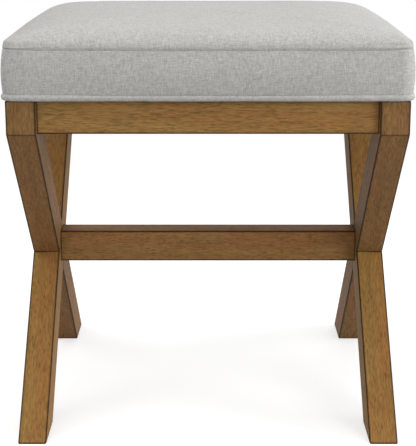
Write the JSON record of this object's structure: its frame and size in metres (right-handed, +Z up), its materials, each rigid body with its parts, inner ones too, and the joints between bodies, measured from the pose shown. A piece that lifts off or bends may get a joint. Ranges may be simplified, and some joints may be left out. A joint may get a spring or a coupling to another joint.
{
  "type": "vanity stool",
  "caption": "Square vanity stool with a box cushion on a wooden apron, crossed half-lapped legs at each side and a low stretcher between the crossings.",
  "frame": {"origin": "on the floor under the middle of the stool", "axes": "+Z up, +X to the right seen from the front, the front looks towards -Y"},
  "size_m": [0.4696, 0.4696, 0.5],
  "materials": {
    "frame_wood": "satin lacquer over a medium brown stain",
    "raw_wood": "unfinished sawn",
    "zinc_steel": "zinc plated",
    "plywood": "unfinished sanded plywood",
    "foam": "open-cell polyurethane foam",
    "wadding": "polyester wadding",
    "seat_fabric": "plain-weave linen look",
    "dust_cloth": "non-woven cambric"
  },
  "bodies": {
    "root": {"left_front_leg": "frame_wood", "left_back_leg": "frame_wood", "right_front_leg": "frame_wood", "right_back_leg": "frame_wood", "front_apron": "frame_wood", "back_apron": "frame_wood", "left_apron": "frame_wood", "right_apron": "frame_wood", "stretcher": "frame_wood", "corner_blocks": "raw_wood", "seat_screws": "zinc_steel", "seat_board": "plywood", "seat_foam": "foam", "seat_wadding": "wadding", "top_cover": "seat_fabric", "side_band": "seat_fabric", "welt": "seat_fabric", "dust_cover": "dust_cloth"}
  },
  "joints": []
}
